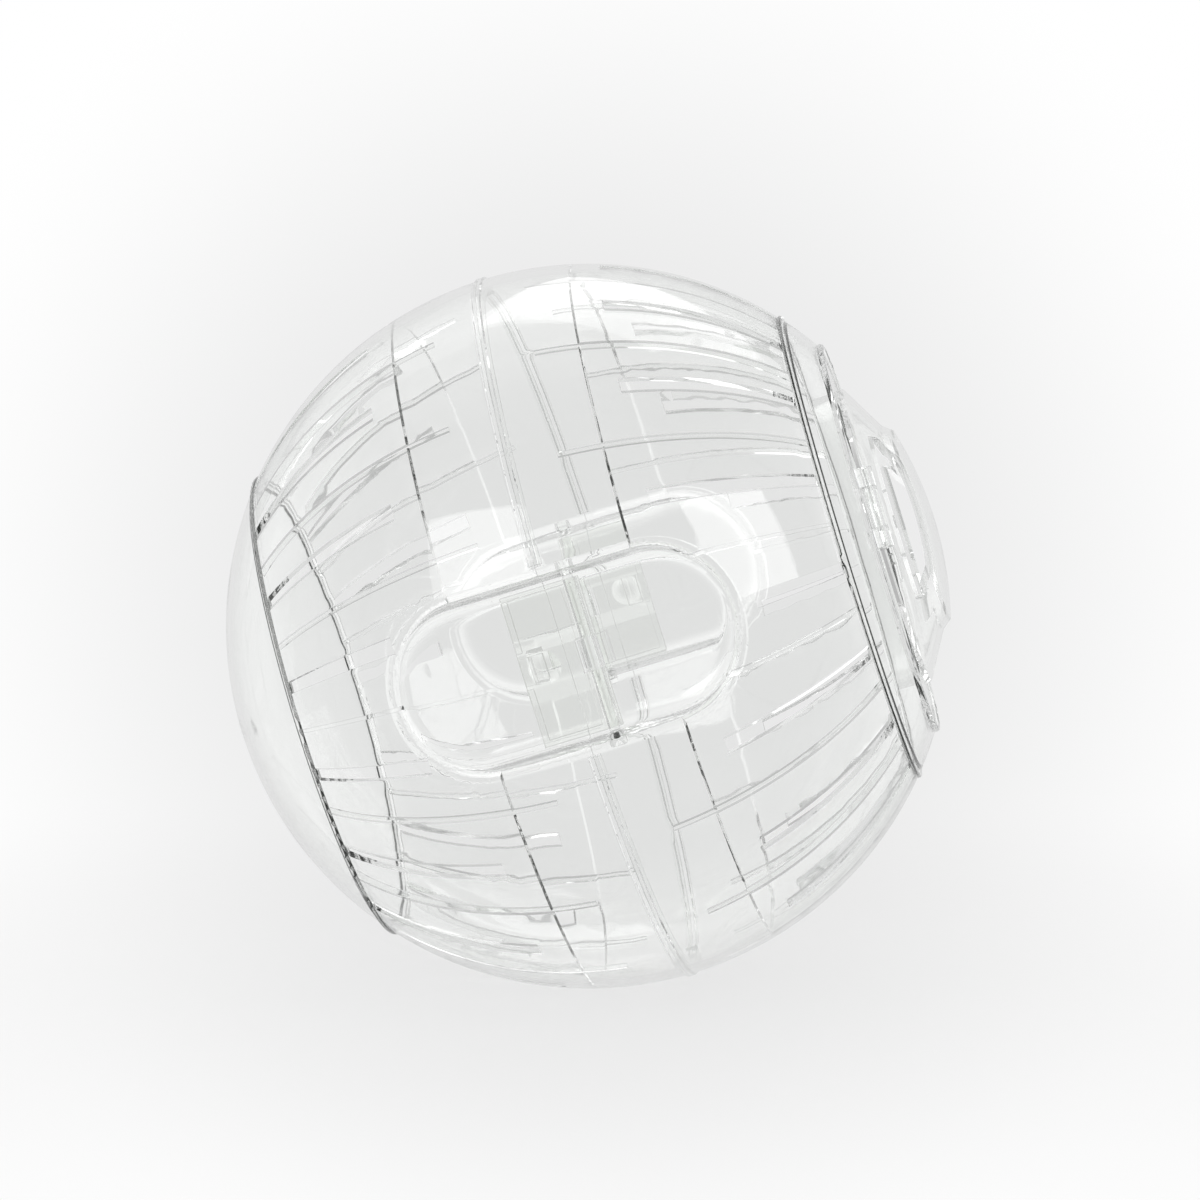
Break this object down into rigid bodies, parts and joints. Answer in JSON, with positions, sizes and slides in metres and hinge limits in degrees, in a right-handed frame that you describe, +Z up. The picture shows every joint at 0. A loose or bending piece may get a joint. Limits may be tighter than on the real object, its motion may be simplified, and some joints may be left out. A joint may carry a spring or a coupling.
{
  "type": "hamster ball",
  "caption": "Clear plastic exercise ball in two slotted half shells, held by seam latches, with a hinged round door at one pole.",
  "frame": {"origin": "centre of the ball, in the plane of the seam", "axes": "+X along the polar axis towards the door, -Y towards the front latch, +Z up"},
  "size_m": [0.18, 0.175, 0.181],
  "materials": {
    "clear_shell": "clear polished moulding",
    "clear_door": "clear polished moulding",
    "clear_latch": "clear moulding with soft edges",
    "clear_pin": "clear turned rod"
  },
  "bodies": {
    "left_half": {"left_half_shell": "clear_shell", "left_end_cap": "clear_shell", "rear_latch_pin": "clear_pin"},
    "right_half": {"right_half_shell": "clear_shell", "door_collar": "clear_shell", "door_hinge_pin": "clear_pin", "front_latch_pin": "clear_pin"},
    "door": {"door_lid": "clear_door"},
    "front_latch": {"front_latch": "clear_latch"},
    "rear_latch": {"rear_latch": "clear_latch"}
  },
  "joints": [
    {"name": "halves_part", "type": "slide", "parent": "left_half", "child": "right_half", "axis": [1, 0, 0], "range_m": [0, 0.05]},
    {"name": "door_swing", "type": "hinge", "parent": "right_half", "child": "door", "pos_m": [0.07789, -0.04298, 0.01032], "axis": [0, -0.2334, -0.9724], "range_deg": [0, 115]},
    {"name": "front_latch_lift", "type": "hinge", "parent": "right_half", "child": "front_latch", "pos_m": [0.0063, -0.0828, 0], "axis": [0, 0, 1], "range_deg": [0, 110]},
    {"name": "rear_latch_lift", "type": "hinge", "parent": "left_half", "child": "rear_latch", "pos_m": [-0.0063, 0.0828, 0], "axis": [0, 0, 1], "range_deg": [0, 110]}
  ],
  "couplings": [
    {"joint": "front_latch_lift", "follows": "halves_part", "rad_per_m": 38.397},
    {"joint": "rear_latch_lift", "follows": "halves_part", "rad_per_m": 38.397}
  ]
}
